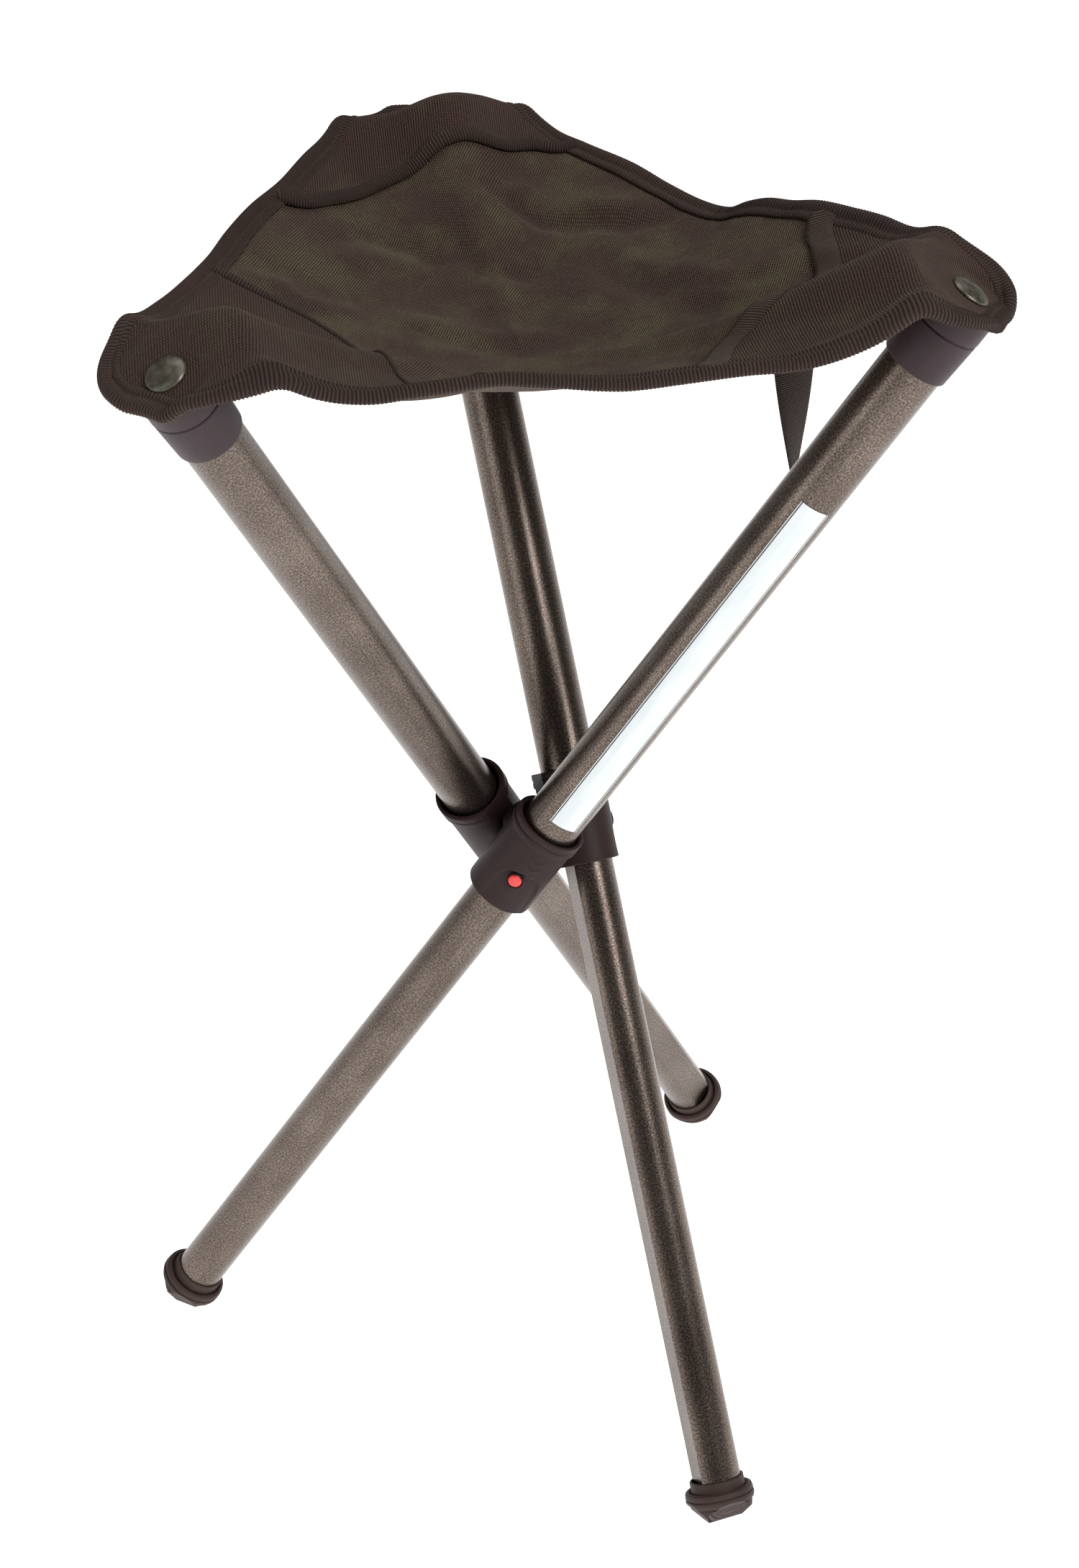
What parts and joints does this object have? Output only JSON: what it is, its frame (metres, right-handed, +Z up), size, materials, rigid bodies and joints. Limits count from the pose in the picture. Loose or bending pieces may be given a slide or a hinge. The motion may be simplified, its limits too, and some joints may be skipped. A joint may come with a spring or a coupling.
{
  "type": "folding three leg stool",
  "caption": "Portable stool: telescopic tube legs crossed at a pivot hub, with push buttons, and a sagging triangular cloth seat riveted to the leg tops.",
  "frame": {"origin": "centre of the bounding box in plan, at floor level", "axes": "+Z up, +Y towards the seat corner over leg c, X to the right seen from the front"},
  "size_m": [0.3274, 0.3447, 0.5158],
  "materials": {
    "tube": "bronze anodised satin",
    "nylon": "fine moulded texture",
    "cup": "satin",
    "rubber": "matte",
    "button": "semi gloss",
    "rivet": "satin",
    "steel": "brushed",
    "bush": "smooth",
    "cloth": "fine twill",
    "tape": "ribbed woven tape",
    "label": "plain printed film"
  },
  "bodies": {
    "frame": {"hub_block": "nylon", "seat_panel": "cloth", "edge_binding": "tape", "hang_strap": "tape", "pivot_pin_a": "steel", "pivot_pin_b": "steel", "pivot_pin_c": "steel", "corner_patch_a": "cloth", "corner_patch_b": "cloth", "corner_patch_c": "cloth", "seam_tape_a": "tape", "seam_tape_b": "tape", "seam_tape_c": "tape"},
    "leg_a": {"upper_tube_a": "tube", "leg_sleeve_a": "nylon", "top_cup_a": "cup", "seat_rivet_a": "rivet"},
    "shank_a": {"lower_tube_a": "tube", "glide_bush_a": "bush", "snap_clip_a": "steel", "foot_a": "rubber"},
    "button_a": {"lock_button_a": "button"},
    "leg_b": {"upper_tube_b": "tube", "leg_sleeve_b": "nylon", "top_cup_b": "cup", "seat_rivet_b": "rivet", "plain_label": "label"},
    "shank_b": {"lower_tube_b": "tube", "glide_bush_b": "bush", "snap_clip_b": "steel", "foot_b": "rubber"},
    "button_b": {"lock_button_b": "button"},
    "leg_c": {"upper_tube_c": "tube", "leg_sleeve_c": "nylon", "top_cup_c": "cup", "seat_rivet_c": "rivet"},
    "shank_c": {"lower_tube_c": "tube", "glide_bush_c": "bush", "snap_clip_c": "steel", "foot_c": "rubber"},
    "button_c": {"lock_button_c": "button"}
  },
  "joints": [
    {"name": "fold_a", "type": "hinge", "parent": "frame", "child": "leg_a", "pos_m": [0.0009, -0.0102, 0.247], "axis": [-0.6129, 0.7902, 0], "range_deg": [0, 32.75], "deforming": ["seat_panel", "edge_binding", "corner_patch_a", "corner_patch_b", "corner_patch_c", "seam_tape_a", "seam_tape_b", "seam_tape_c", "hang_strap"]},
    {"name": "fold_b", "type": "hinge", "parent": "frame", "child": "leg_b", "pos_m": [0.0009, -0.0102, 0.247], "axis": [-0.3778, -0.9259, 0], "range_deg": [0, 32.75]},
    {"name": "fold_c", "type": "hinge", "parent": "frame", "child": "leg_c", "pos_m": [0.0009, -0.0102, 0.247], "axis": [0.9907, 0.1357, 0], "range_deg": [0, 32.75]},
    {"name": "slide_a", "type": "slide", "parent": "leg_a", "child": "shank_a", "axis": [-0.4275, -0.3316, 0.841], "range_m": [0, 0.255]},
    {"name": "slide_b", "type": "slide", "parent": "leg_b", "child": "shank_b", "axis": [0.5009, -0.2044, 0.841], "range_m": [0, 0.255]},
    {"name": "slide_c", "type": "slide", "parent": "leg_c", "child": "shank_c", "axis": [-0.0734, 0.536, 0.841], "range_m": [0, 0.255]},
    {"name": "press_a", "type": "slide", "parent": "leg_a", "child": "button_a", "axis": [0.6129, -0.7902, 0], "range_m": [0, 0.0015], "stiffness_N_per_m": 300, "springref_m": -0.0015},
    {"name": "press_b", "type": "slide", "parent": "leg_b", "child": "button_b", "axis": [0.3778, 0.9259, 0], "range_m": [0, 0.0015], "stiffness_N_per_m": 300, "springref_m": -0.0015},
    {"name": "press_c", "type": "slide", "parent": "leg_c", "child": "button_c", "axis": [-0.9907, -0.1357, 0], "range_m": [0, 0.0015], "stiffness_N_per_m": 300, "springref_m": -0.0015}
  ],
  "couplings": [
    {"joint": "fold_b", "follows": "fold_a", "ratio": 1},
    {"joint": "fold_c", "follows": "fold_a", "ratio": 1}
  ]
}
